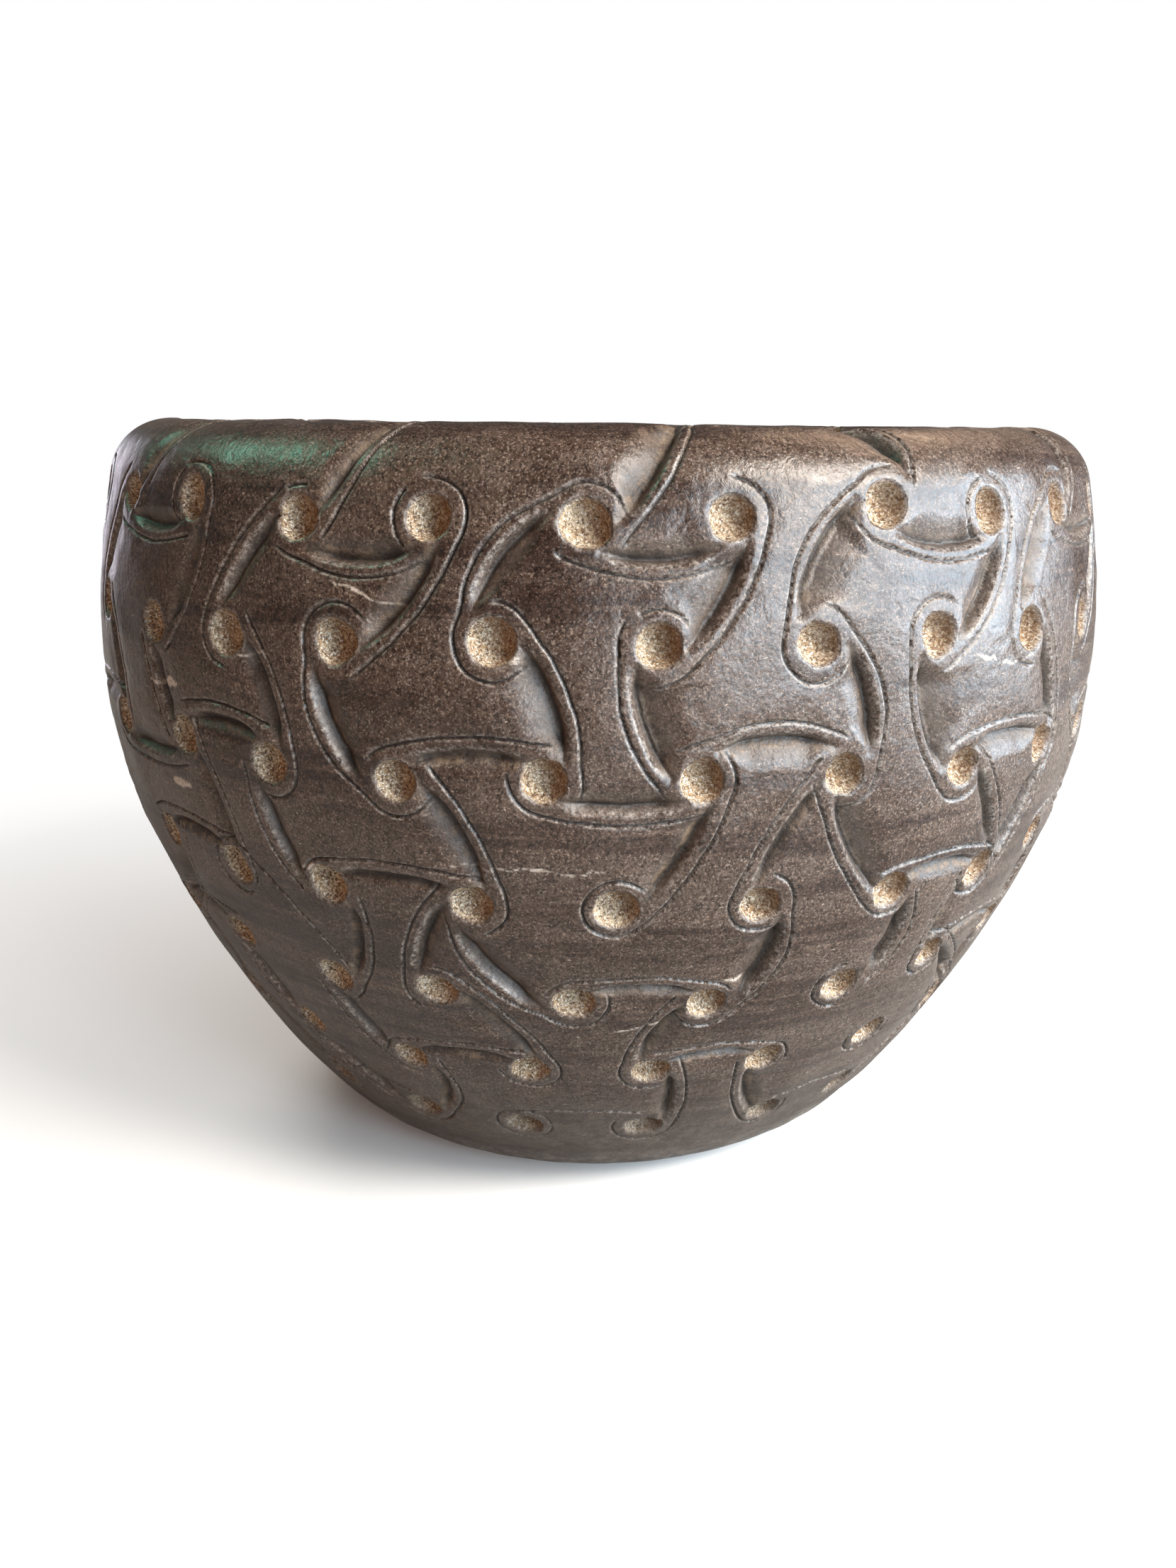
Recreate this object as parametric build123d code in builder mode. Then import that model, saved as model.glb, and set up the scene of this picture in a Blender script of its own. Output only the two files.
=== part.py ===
from build123d import *

import os
from math import atan2, degrees

# A round bowl carved from one block, with a rolled-in rim and rows of round pits cut all over its outside.
# Millimetres, +Z up. The origin is the centre of the flat foot that the bowl rests on.

# The outside, from the edge of the foot up to the top of the rim: each pair is an arc's radius and how far
# it turns, in degrees, and each arc starts where the last one ends, in the same direction.
foot_radius = 65.0
outside_arcs = [
    (31.0, 49.0),  # the rounded edge of the foot
    (154.0, 9.0),  # the lower side
    (323.0, 11.0),  # the nearly straight flank
    (143.0, 21.0),  # the swell up to the widest place
    (187.0, 15.0),  # the side leaning back in
    (16.0, 75.0),  # the rolled shoulder, which ends level at the top of the rim
]

# The hollow, from its floor up, in the same way.
floor_thickness = 17.0
floor_radius = 50.0
hollow_arcs = [
    (46.0, 59.0),  # the rounded corner between the floor and the wall
    (307.0, 10.0),
    (127.0, 21.0),
    (98.0, 37.5),  # the wall curling in under the rim
]
lip_radius = 5.0

# The pits lie in rows round the bowl: the first on top of the rim, the others down the side. A row is placed by
# its distance along the outside from the top of the shoulder, down the side, and turned so that one of its pits
# stands at the given angle, in degrees, from the front (-Y) towards +X. The lower rows hold fewer pits, as the
# bowl narrows.
rim_row_distance = -5.6
first_side_row_distance = 25.2
side_row_spacing = 26.8
pits_in_row = [28, 28, 28, 28, 28, 26, 24, 22]
row_turns = [5.5, -1.3, -8.2, -3.9, 2.0, -1.7, 6.8, 8.0]
pit_mouth_radius = 4.8
pit_depth = 4.2

pit_sphere_radius = (pit_mouth_radius**2 + pit_depth**2) / (2 * pit_depth)
pit_centre_height = pit_sphere_radius - pit_depth
front_angle = -90.0

# The round surfaces start and end at this angle from the front. It passes the middle of a pit or well clear of
# it in every row, so that it never grazes the edge of one.
seam_turn = 172.5


def arc_chain(first_line, arcs):
    """Draws the arcs one after another from the end of a line, and returns the last of them."""
    edge = first_line
    for radius, turn in arcs:
        edge = JernArc(start=edge @ 1, tangent=edge % 1, radius=radius, arc_size=turn)
    return edge


# The two outlines are drawn with X as the distance from the axis and Y as the height.
with BuildLine() as outside:
    foot = Line((0, 0), (foot_radius, 0))
    shoulder = arc_chain(foot, outside_arcs)

with BuildLine() as hollow:
    floor = Line((0, floor_thickness), (floor_radius, floor_thickness))
    throat = arc_chain(floor, hollow_arcs)

with BuildLine() as rim:
    Line(shoulder @ 1, throat @ 1)

with BuildSketch(Plane.XZ.rotated((0, 0, front_angle + seam_turn))) as wall:
    with BuildLine():
        add(outside.line)
        add(rim.line)
        add(hollow.line)
        Line(floor @ 0, foot @ 0)
    make_face()
    lip = wall.vertices().sort_by_distance(throat @ 1)[0]
    fillet(lip, lip_radius)


def pit_place(distance):
    """The centre of a pit's sphere in the outline, for a pit this far down from the top of the shoulder, and how
    far the surface there faces upwards, in degrees."""
    if distance < 0:
        outline, along = rim.wire(), -distance
    else:
        outline, along = outside.wire(), outside.wire().length - distance
    on_surface = outline.position_at(along, PositionMode.LENGTH)
    direction = outline.tangent_at(along, PositionMode.LENGTH)
    outward = Vector(direction.Y, -direction.X)
    return on_surface + outward * pit_centre_height, degrees(atan2(outward.Y, outward.X))


with BuildPart() as carved_bowl:
    add(wall.sketch)
    revolve(axis=Axis.Z)
    side_rows = [first_side_row_distance + side_row_spacing * row for row in range(len(pits_in_row) - 1)]
    for distance, count, turn in zip([rim_row_distance, *side_rows], pits_in_row, row_turns):
        centre, facing_up = pit_place(distance)
        with Locations((0, 0, centre.Y)):
            with PolarLocations(centre.X, count, start_angle=front_angle + turn):
                Sphere(pit_sphere_radius, rotation=(0, -facing_up, 0), mode=Mode.SUBTRACT)

carved_bowl.part.label = "carved_bowl"
os.makedirs("parts", exist_ok=True)
export_step(carved_bowl.part, "parts/carved_bowl.step")
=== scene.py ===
import math

import bpy
import numpy as np
from mathutils import Matrix, Vector


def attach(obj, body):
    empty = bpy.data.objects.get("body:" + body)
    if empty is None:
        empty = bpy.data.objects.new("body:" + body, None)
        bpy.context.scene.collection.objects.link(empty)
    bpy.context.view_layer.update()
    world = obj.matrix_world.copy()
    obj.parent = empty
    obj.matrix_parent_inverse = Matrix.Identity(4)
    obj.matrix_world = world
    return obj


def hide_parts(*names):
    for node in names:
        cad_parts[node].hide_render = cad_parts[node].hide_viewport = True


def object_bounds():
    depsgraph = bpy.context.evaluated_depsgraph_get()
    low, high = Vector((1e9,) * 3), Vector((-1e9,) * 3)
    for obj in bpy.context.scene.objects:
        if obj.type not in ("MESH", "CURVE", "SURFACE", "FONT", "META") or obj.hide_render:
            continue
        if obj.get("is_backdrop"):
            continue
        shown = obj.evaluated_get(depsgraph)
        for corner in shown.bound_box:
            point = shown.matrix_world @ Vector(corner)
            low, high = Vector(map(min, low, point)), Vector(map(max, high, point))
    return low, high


# The looks of a round stone bowl, carved all over its outside with rows of pits, which swinging channels
# and thin scratched lines join up. It is one closed mesh, made of rings of vertices that follow the outline
# from the middle of the hollow's floor, up and over the rim, down the outside and in to the middle of the
# foot. The carving is a depth at each vertex.
#
# Lengths are in millimetres until the mesh is made. Azimuth (phi) is measured from the front (-Y) towards
# +X. Distance (s) is along the outline from the top of the shoulder, positive down the outside and negative
# into the hollow.

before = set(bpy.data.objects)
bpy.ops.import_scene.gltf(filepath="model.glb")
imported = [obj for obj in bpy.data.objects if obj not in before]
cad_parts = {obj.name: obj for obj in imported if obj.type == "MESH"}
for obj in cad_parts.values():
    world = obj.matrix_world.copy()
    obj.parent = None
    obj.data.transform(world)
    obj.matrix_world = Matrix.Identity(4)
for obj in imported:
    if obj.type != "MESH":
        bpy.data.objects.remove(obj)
cad_low, cad_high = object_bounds()
SEED = 31
rng = np.random.default_rng(SEED)

MM = 0.001
TURN = 2 * math.pi

# ---------------- outline

# Each arc is a radius and a turn in degrees: from the foot up the outside, and from the floor up the hollow.
# The lip's corner starts and ends LIP_REACH from where the hollow meets the rim. The rings are close together
# from LIP_BELOW inside it.
FOOT_RADIUS = 65.0
OUTSIDE_ARCS = [(31.0, 49.0), (154.0, 9.0), (323.0, 11.0), (143.0, 21.0), (187.0, 15.0), (16.0, 75.0)]
FLOOR_HEIGHT = 17.0
FLOOR_RADIUS = 50.0
HOLLOW_ARCS = [(46.0, 59.0), (307.0, 10.0), (127.0, 21.0), (98.0, 37.5)]
LIP_REACH = 7.5
LIP_HANDLE = 3.6
LIP_POINTS = 38
LIP_BELOW = 12.0
OUTLINE_STEP = 0.25


def arc_chain(x, y, arcs):
    """Points along arcs drawn one after another from (x, y). The first one leaves level."""
    points, heading = [(x, y)], 0.0
    for radius, turn in arcs:
        steps = int(radius * math.radians(turn) / OUTLINE_STEP) + 2
        angles = heading + math.radians(turn) * np.arange(1, steps + 1) / steps
        centre = x - radius * math.sin(heading), y + radius * math.cos(heading)
        points.extend(zip(centre[0] + radius * np.sin(angles), centre[1] - radius * np.cos(angles)))
        x, y = points[-1]
        heading += math.radians(turn)
    return np.array(points)


def rounded_corner(a, a_way, b, b_way):
    """A curve from a, leaving along a_way, to b, arriving along b_way, without its two ends."""
    t = np.linspace(0, 1, LIP_POINTS + 2)[1:-1, None]
    p, q = a + LIP_HANDLE * a_way, b - LIP_HANDLE * b_way
    return (1 - t) ** 3 * a + 3 * (1 - t) ** 2 * t * p + 3 * (1 - t) * t**2 * q + t**3 * b


def unit(v):
    return v / np.hypot(*v)


outside = arc_chain(FOOT_RADIUS, 0.0, OUTSIDE_ARCS)
throat = arc_chain(FLOOR_RADIUS, FLOOR_HEIGHT, HOLLOW_ARCS)
shoulder_top, throat_end = outside[-1], throat[-1]
throat = throat[np.hypot(*(throat - throat_end).T) > LIP_REACH]
rim_way = unit(shoulder_top - throat_end)
lip_end = throat_end + LIP_REACH * rim_way
corner = rounded_corner(throat[-1], unit(throat[-1] - throat[-3]), lip_end, rim_way)
path = np.vstack([[(0.0, FLOOR_HEIGHT)], throat, corner, [lip_end], outside[::-1], [(0.0, 0.0)]])
lengths = np.hypot(*np.diff(path, axis=0).T)
distances = np.r_[0, np.cumsum(lengths)]
shoulder_at = distances[len(path) - 1 - len(outside)]
path_s = np.arange(distances[0], distances[-1], OUTLINE_STEP)
path_r = np.interp(path_s, distances, path[:, 0])
path_z = np.interp(path_s, distances, path[:, 1])
path_nr, path_nz = -np.gradient(path_z), np.gradient(path_r)
path_n = np.hypot(path_nr, path_nz)
path_s = path_s - shoulder_at
FLOOR_CENTRE, FOOT_CENTRE = path_s[0], path_s[-1]
FLOOR_EDGE = FLOOR_CENTRE + FLOOR_RADIUS
FOOT_EDGE = FOOT_CENTRE - FOOT_RADIUS
LIP_START = -np.hypot(*(shoulder_top - lip_end)) - LIP_BELOW


def outline(s):
    """Distance from the axis, height, and the outward direction's two parts, of the plain surface."""
    return [np.interp(s, path_s, v) for v in (path_r, path_z, path_nr / path_n, path_nz / path_n)]


# ---------------- the grid of the carved band

# For each vertex of the carved band: how deep it is carved, how far it is softly sunk, how far it is slid
# along the surface, and how much of each mark it bears. The stone's material reads the marks, among them
# painted shade and painted highlight.
COLUMNS = 2400
CARVED_FROM, CARVED_TO, ROW_STEP = -10.4, 206.0, 0.37
SNAP = 0.19
row_s = np.arange(CARVED_FROM, CARVED_TO, ROW_STEP)
row_r = outline(row_s)[0]
depth, soft, shift_across, shift_down = np.zeros((4, len(row_s), COLUMNS), np.float32)
MARKS = ("pit", "pit_shade", "cut", "dark", "pale", "vein", "tan")
masks = {name: np.zeros_like(depth) for name in MARKS}


def smooth(x):
    """0 up to 0, 1 from 1 on, and a soft step between."""
    x = np.clip(x, 0, 1)
    return x * x * (3 - 2 * x)


def hump(x, middle, reach):
    """1 where x is middle, and almost 0 from twice reach away."""
    return np.exp(-(((x - middle) / reach) ** 2))


def fading(past, tail):
    """1 beside a path, going to 0 over tail mm past its ends."""
    return np.clip(1 - past / tail, 0, 1)


def mark(name, where, amount):
    masks[name][where] = np.maximum(masks[name][where], amount)


def sink(where, amount):
    soft[where] = np.maximum(soft[where], amount)


def patch(phi, low_x, high_x, low_s, high_s):
    """The vertices of the carved band from low_x to high_x mm to the right of azimuth phi, and from distance
    low_s to high_s: their place in the grid, how far right of phi they are, and their distances."""
    first, last = np.searchsorted(row_s, [low_s, high_s])
    rows = np.arange(first, last)
    radius = row_r[rows].min() if len(rows) else 1.0
    low_column = math.floor((phi + low_x / radius) * COLUMNS / TURN)
    high_column = math.ceil((phi + high_x / radius) * COLUMNS / TURN)
    columns = np.arange(low_column, high_column + 1)
    across = (columns * TURN / COLUMNS - phi)[None, :] * row_r[rows][:, None]
    down = np.broadcast_to(row_s[rows][:, None], across.shape)
    return np.ix_(rows, columns % COLUMNS), across.astype(np.float32), down.astype(np.float32)


def path_patch(phi, path, margin):
    low, high = path.min(0) - margin, path.max(0) + margin
    return patch(phi, low[0], high[0], low[1], high[1])


def nearest(across, down, path):
    """For each vertex: signed distance to the path, how far along it (0 to 1), how far past its ends in mm,
    and the way to its nearest point. The sign is positive on the right of the way the path runs, seen from
    outside."""
    starts, ends = path[:-1], path[1:]
    runs = ends - starts
    sizes = np.maximum(np.hypot(*runs.T), 1e-6)
    along = np.r_[0, np.cumsum(sizes)]
    best = np.full(across.shape, 1e9, np.float32)
    signed, position, past, to_x, to_y = np.zeros((5, *across.shape), np.float32)
    for i, ((ax, ay), (ex, ey), size) in enumerate(zip(starts, runs, sizes)):
        rx, ry = across - ax, down - ay
        raw = (rx * ex + ry * ey) / size**2
        t = np.clip(raw, 0, 1)
        dx, dy = t * ex - rx, t * ey - ry
        d2 = dx * dx + dy * dy
        closer = d2 < best
        best = np.where(closer, d2, best)
        side = np.sign(ex * ry - ey * rx)
        signed = np.where(closer, side * np.sqrt(d2), signed)
        position = np.where(closer, (along[i] + t * size) / along[-1], position)
        over = np.abs(raw - t) * size if i in (0, len(sizes) - 1) else 0.0
        past = np.where(closer, over, past)
        to_x, to_y = np.where(closer, dx, to_x), np.where(closer, dy, to_y)
    return signed, position, past, to_x, to_y


def snapped(signed, levels):
    """Distances with those close to a level put on it, so that an edge runs along vertices."""
    out = signed.copy()
    for level in levels:
        out = np.where(np.abs(signed - level) < SNAP, level, out)
    return out


def move_to(where, signed, new, to_x, to_y):
    """Slides vertices along the surface so that their distance to a path goes from signed to new."""
    changed = (new != signed) & (np.abs(signed) > 1e-5)
    share = np.where(changed, 1 - new / np.where(changed, signed, 1), 0)
    free = (shift_across[where] == 0) & (shift_down[where] == 0) & changed
    shift_across[where] = np.where(free, share * to_x, shift_across[where])
    shift_down[where] = np.where(free, share * to_y, shift_down[where])


# ---------------- the paths of strokes

PATH_STEP = 0.9
LEAST_POINTS = 6
CURVE_STEPS = 7
HAND_WAVES = ((6, 9), (10, 16), (18, 32))


def jitter(value, share):
    return value * (1 + rng.uniform(-share, share))


def run_along(path):
    """How far along the path each of its points is."""
    return np.r_[0, np.cumsum(np.hypot(*np.diff(path, axis=0).T))]


def curve(points):
    """A smooth curve through the points."""
    p = np.array(points, float)
    p = np.vstack([2 * p[0] - p[1], p, 2 * p[-1] - p[-2]])
    t = (np.arange(CURVE_STEPS) / CURVE_STEPS)[:, None]
    out = []
    for a, b, c, d in zip(p, p[1:], p[2:], p[3:]):
        square, cube = 2 * a - 5 * b + 4 * c - d, 3 * b - a - 3 * c + d
        out.append(0.5 * (2 * b + (c - a) * t + square * t**2 + cube * t**3))
    return np.vstack(out + [p[-2:-1]])


def evened(path, rounds):
    """The path in even short steps, with its kinks rounded off."""
    along = run_along(path)
    at = np.linspace(0, along[-1], max(LEAST_POINTS, int(along[-1] / PATH_STEP)))
    even = np.c_[np.interp(at, along, path[:, 0]), np.interp(at, along, path[:, 1])]
    for _ in range(rounds):
        even[1:-1] = (even[:-2] + 2 * even[1:-1] + even[2:]) / 4
    return even


def wobbled(path, amount, rounds):
    """The evened path with a hand's unsteadiness, from a few slow waves across its run."""
    path = evened(path, rounds)
    along = run_along(path)
    way = np.gradient(path, axis=0)
    way /= np.maximum(np.hypot(*way.T), 1e-9)[:, None]
    offset = sum(
        amount * rng.uniform(0.4, 1) * np.sin(along * TURN / rng.uniform(*span) + rng.uniform(0, TURN))
        for span in HAND_WAVES
    )
    return path + offset[:, None] * np.c_[-way[:, 1], way[:, 0]]


# ---------------- strokes

# A channel is a facet that slopes down to its deepest edge, and a wall that climbs out again beyond it. At
# its ends it is down to END_DEPTH and END_WIDTH of its full size. It reaches that size over DEPTH_RUN and
# WIDTH_RUN of its length. A tail is how far something goes on past the ends of a path.
CHANNEL_DEPTH = 1.2
DEPTH_PER_WIDTH = 0.36
WALL = 1.9
WALL_BEND = 1.35
FACET_SPREAD = 1.45
FACET_BEND = 1.6
END_DEPTH, DEPTH_RUN = 0.25, 0.26
END_WIDTH, WIDTH_RUN = 0.3, 0.3
CHANNEL_TAIL = 2.2
SOFT_DEPTH = 0.35
SOFT_REACH = 3.5
SOFT_TAIL = 3.0
# A line is a thin V. It slides the vertices within LINE_MOVES of it, and isn't cut where a channel is deeper
# than NO_LINE_BELOW.
LINE_HALF = 0.5
LINE_DEPTH = 0.9
LINE_END, LINE_RUN = 0.15, 0.05
LINE_TAIL = 0.7
LINE_SOFT_DEPTH = 0.16
LINE_SOFT_REACH = 1.5
LINE_SOFT_TAIL = 2.0
LINE_MARGIN = 3.4
LINE_MOVES = 1.0
NO_LINE_BELOW = 1.2
MARK_TAIL = 0.5
# Marks that a channel and a line leave, and painted light on them: how wide they are, where earth lies in
# them, where shade is painted along their bottoms, and where dust and a painted highlight lie on their edges.
CUT_TAIL = 1.5
WALL_DUST_HIGHLIGHT_AT, WALL_DUST_HIGHLIGHT_REACH, WALL_DUST_HIGHLIGHT = -0.75 * WALL, 0.5, 0.75
SHADE_AT, SHADE_IN_FACET, SHADE_IN_WALL = 0.05, 0.9, 0.5
EARTH_AT, EARTH_REACH, EARTH_LEAST, EARTH_MOST = 0.8, 1.6, 0.1, 0.8
LINE_SHADE_HALF = 0.75 * LINE_HALF
LINE_DUST_HIGHLIGHT_AT, LINE_DUST_HIGHLIGHT_REACH, LINE_DUST_HIGHLIGHT = 0.8 * LINE_HALF, 0.3, 0.7
# How a channel and the line outside it lie between two pits.
LINE_TO_CHANNEL = 3.7
CHANNEL_REACH = 2.0
CHANNEL_END_SHARE, CHANNEL_END_REACH = 0.6, 2.2
CHANNEL_STOPS = (0.09, 0.22, 0.36, 0.5, 0.64, 0.78, 0.91)
LINE_STOPS = (0.25, 0.5, 0.75)
HOOK_SHARE, HOOK_LEAST, HOOK_MOST = 0.8, 6.6, 8.0
HOOK_STEP = 15
RING_STEP = 20
RING_DEPTH = 0.85 * LINE_DEPTH
LINE_VARIES = 0.15
# The hand that drew them: unsteadiness in mm, and rounds of smoothing.
LINE_HAND, CHANNEL_HAND, RING_HAND = (0.07, 10), (0.05, 3), (0.08, 2)


def carve_channel(phi, path, side, width):
    """A sloping facet that ends in a steep wall. The path is its deepest edge, and the facet lies on the
    side away from the bulge. A wider one is cut deeper. The surface round it sinks softly towards it."""
    where, across, down = path_patch(phi, path, width + 2 * SOFT_REACH)
    signed, t, past, to_x, to_y = nearest(across, down, path)
    signed = -side * signed
    new = snapped(signed, (0.0,))
    end = np.minimum(t, 1 - t)
    most = CHANNEL_DEPTH + DEPTH_PER_WIDTH * width
    amount = most * (END_DEPTH + (1 - END_DEPTH) * smooth(end / DEPTH_RUN)) * fading(past, CHANNEL_TAIL)
    wide = FACET_SPREAD * width * (END_WIDTH + (1 - END_WIDTH) * smooth(end / WIDTH_RUN))
    facet = np.clip(1 - new / wide, 0, 1) ** FACET_BEND
    wall = np.clip(1 + new / WALL, 0, 1) ** WALL_BEND
    profile = np.where(new >= 0, facet, wall)
    cut = profile * amount
    deeper = cut > depth[where] + 0.01
    move_to(where, np.where(deeper, signed, 0), np.where(deeper, new, 0), to_x, to_y)
    depth[where] = np.maximum(depth[where], cut)
    away = np.maximum(np.maximum(new - wide, -new - WALL), 0)
    sink(where, SOFT_DEPTH * smooth(end / WIDTH_RUN) * hump(away, 0, SOFT_REACH) * fading(past, SOFT_TAIL))

    inside = ((new > -WALL) & (new < wide) & (past < CUT_TAIL)) * smooth(1.6 * (amount / most))
    mark("cut", where, inside * smooth(1.8 * profile))
    bottom = smooth(EARTH_REACH - np.abs(new - EARTH_AT)) * inside
    mark("tan", where, bottom * rng.uniform(EARTH_LEAST, EARTH_MOST))
    # Dust and a painted highlight along the top of the wall.
    wall_top = hump(new, WALL_DUST_HIGHLIGHT_AT, WALL_DUST_HIGHLIGHT_REACH) * (amount > 0.35 * most)
    mark("pale", where, WALL_DUST_HIGHLIGHT * (wall_top * fading(past, MARK_TAIL)))
    # Painted shade along the channel's deep edge.
    shade_reach = np.where(new > 0, SHADE_IN_FACET, SHADE_IN_WALL)
    shaded = hump(new, SHADE_AT, shade_reach) * smooth(1.2 * amount / most)
    mark("dark", where, shaded * fading(past, MARK_TAIL))


def carve_line(phi, path, most):
    """A thin scratched line of V section, most mm deep."""
    where, across, down = path_patch(phi, path, LINE_MARGIN)
    signed, t, past, to_x, to_y = nearest(across, down, path)
    new = snapped(signed, (-LINE_HALF, 0.0, LINE_HALF))
    from_middle = np.abs(new)
    end = np.minimum(t, 1 - t)
    amount = most * smooth(LINE_END + end / LINE_RUN) * fading(past, LINE_TAIL)
    near = np.abs(signed) < LINE_MOVES
    move_to(where, np.where(near, signed, 0), np.where(near, new, 0), to_x, to_y)
    cut = np.clip(1 - from_middle / LINE_HALF, 0, 1) * amount
    depth[where] += cut * (depth[where] < NO_LINE_BELOW)
    sunk = LINE_SOFT_DEPTH * hump(signed, 0, LINE_SOFT_REACH)
    sink(where, sunk * fading(past, LINE_SOFT_TAIL) * smooth(end / LINE_RUN))

    # Painted shade down the middle of the line, and dust with a painted highlight along its edges.
    beside = fading(past, MARK_TAIL)
    mark("dark", where, beside * np.clip(1 - from_middle / LINE_SHADE_HALF, 0, 1))
    mark("pale", where, LINE_DUST_HIGHLIGHT * hump(from_middle, LINE_DUST_HIGHLIGHT_AT, LINE_DUST_HIGHLIGHT_REACH) * beside)


def stroke(start, end, bulge, hook_start, hook_end, width):
    """A channel between two pits that swings out from their middles, and the line that runs outside it,
    bulge mm from their middles, and hooks round the pits by the given angles. A positive bulge is to the left
    on the way down, or down on the way along a row. With no width there is only the line."""
    phi = (start[0] + end[0]) / 2
    a, b = (np.array([(p[0] - phi) * outline(p[1])[0], p[1]]) for p in (start, end))
    size = np.hypot(*(b - a))
    along = (b - a) / size
    side = math.copysign(1, bulge)
    out = side * np.array([-along[1], along[0]])
    reach = abs(bulge)
    hook_radius = min(max(HOOK_SHARE * reach, HOOK_LEAST), HOOK_MOST)

    def between(t, at_ends, most):
        return a + along * size * t + out * (at_ends + (most - at_ends) * 4 * t * (1 - t))

    def round_pit(centre, way, angle):
        angle = math.radians(angle)
        return centre + hook_radius * (out * math.cos(angle) + way * math.sin(angle))

    def hook(centre, way, most):
        return [round_pit(centre, way, g) for g in np.linspace(0, most, 1 + round(most / HOOK_STEP))]

    middle = [between(t, hook_radius, reach) for t in LINE_STOPS]
    line = curve(hook(a, -along, hook_start)[::-1] + middle + hook(b, along, hook_end))
    line = wobbled(line, *LINE_HAND)
    if width:
        most = max(reach - LINE_TO_CHANNEL, CHANNEL_REACH)
        least = min(max(CHANNEL_END_SHARE * most, CHANNEL_END_REACH), most)
        deep = curve([between(t, least, most) for t in CHANNEL_STOPS])
        carve_channel(phi, wobbled(deep, *CHANNEL_HAND), side, width)
    carve_line(phi, line, jitter(LINE_DEPTH, LINE_VARIES))


def ring(place, radius, from_angle, to_angle):
    """Part of a thin circle round a pit, by angles from the right, turning downwards."""
    count = 4 + int(abs(to_angle - from_angle) / RING_STEP)
    angles = np.radians(np.linspace(from_angle, to_angle, count))
    x, y = radius * np.cos(angles), place[1] + radius * np.sin(angles)
    carve_line(place[0], wobbled(np.c_[x, y], *RING_HAND), RING_DEPTH)


# ---------------- where the pits are

# Rows of pits, the first on the rim: where each one is, how many pits it has, and how far it is turned.
RIM_ROW_AT, FIRST_ROW_AT, ROW_SPACING = -5.6, 25.2, 26.8
ROW_AT = [RIM_ROW_AT] + [FIRST_ROW_AT + ROW_SPACING * i for i in range(7)]
PITS_IN_ROW = [28, 28, 28, 28, 28, 26, 24, 22]
ROW_TURNS = [5.5, -1.3, -8.2, -3.9, 2.0, -1.7, 6.8, 8.0]
PIT_STRAY = 0.3
# How far some pits stand from their even places, in mm to the right and down, by row and by pit from the
# row's turn.
NUDGES = {
    (1, -2): (1.5, 2.0), (1, -1): (0.5, 1.3), (1, 0): (0.4, 1.8), (1, 1): (-1.6, 1.0),
    (1, 2): (1.0, -1.6),
    (2, -3): (3.0, 1.4), (2, -1): (-2.0, -0.8), (2, 0): (-0.3, -2.2), (2, 1): (0.5, -2.6),
    (2, 2): (1.5, -2.0), (2, 3): (-0.4, -2.0),
    (3, -3): (3.0, -1.5), (3, 0): (-0.4, -2.1), (3, 1): (-1.2, -2.0), (3, 2): (-1.3, -1.3),
    (4, -3): (-1.8, 0.9), (4, -2): (-3.5, 0.0), (4, 2): (3.0, 2.0), (4, 3): (2.0, 2.5),
    (5, -2): (2.5, 2.0), (5, 0): (0.0, 1.0), (5, 1): (-1.2, 2.0), (5, 2): (2.0, 2.3),
    (6, -2): (2.5, 1.5), (6, -1): (2.0, -0.8), (6, 1): (-1.8, -0.8),
    (7, -1): (-2.0, -0.8), (7, 0): (-1.5, -0.9), (7, 1): (3.0, 0.2),
}
LEFTMOST = -5
halves = [count // 2 for count in PITS_IN_ROW]


def even_place(row, column):
    """The azimuth that a pit would have if its row were evenly spaced."""
    return math.radians(ROW_TURNS[row]) + column * TURN / PITS_IN_ROW[row]


def nudge(row, column):
    """How far a pit is moved to the right and down. The back has the same moves as the front."""
    for half in (0, halves[row]):
        from_turn = (column - half - LEFTMOST) % PITS_IN_ROW[row] + LEFTMOST
        if (row, from_turn) in NUDGES:
            return NUDGES[row, from_turn]
    return 0.0, 0.0


pits = {}
for row, distance in enumerate(ROW_AT):
    for column in range(PITS_IN_ROW[row]):
        across, down = rng.normal(0, PIT_STRAY, 2) if row else (0.0, 0.0)
        right, low = nudge(row, column)
        place = even_place(row, column) + (across + right) / outline(distance)[0]
        pits[row, column] = (place, distance + (down + low), rng.uniform(0.95, 1.06))


def pit(row, column, near=None):
    """A pit's azimuth, distance and relative size, with the azimuth taken the short way round from near."""
    phi, s, size = pits[row, column % PITS_IN_ROW[row]]
    if near is not None:
        phi -= TURN * round((phi - near) / TURN)
    return phi, s, size


def neighbour(row, column, lean):
    """The pit that a stroke goes to: the next in the row for lean 0, or else in the row below, the nearest
    on the left for -1 and on the right for 1."""
    phi = pit(row, column)[0]
    if lean == 0:
        return pit(row, column + 1, phi)
    from_first = even_place(row, column) - even_place(row + 1, 0)
    index = math.floor(from_first * PITS_IN_ROW[row + 1] / TURN + 0.05)
    return pit(row + 1, index + (lean > 0), phi)


def make(row, column, lean, bulge, hook_start, hook_end, width, share=0.03):
    """A stroke from one pit to its neighbour, with each of its measures off by up to share of itself."""
    width = jitter(width, 0.08) if width else 0
    bulge, hook_start, hook_end = (jitter(value, share) for value in (bulge, hook_start, hook_end))
    stroke(pit(row, column), neighbour(row, column, lean), bulge, hook_start, hook_end, width)


# ---------------- the pattern

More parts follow.
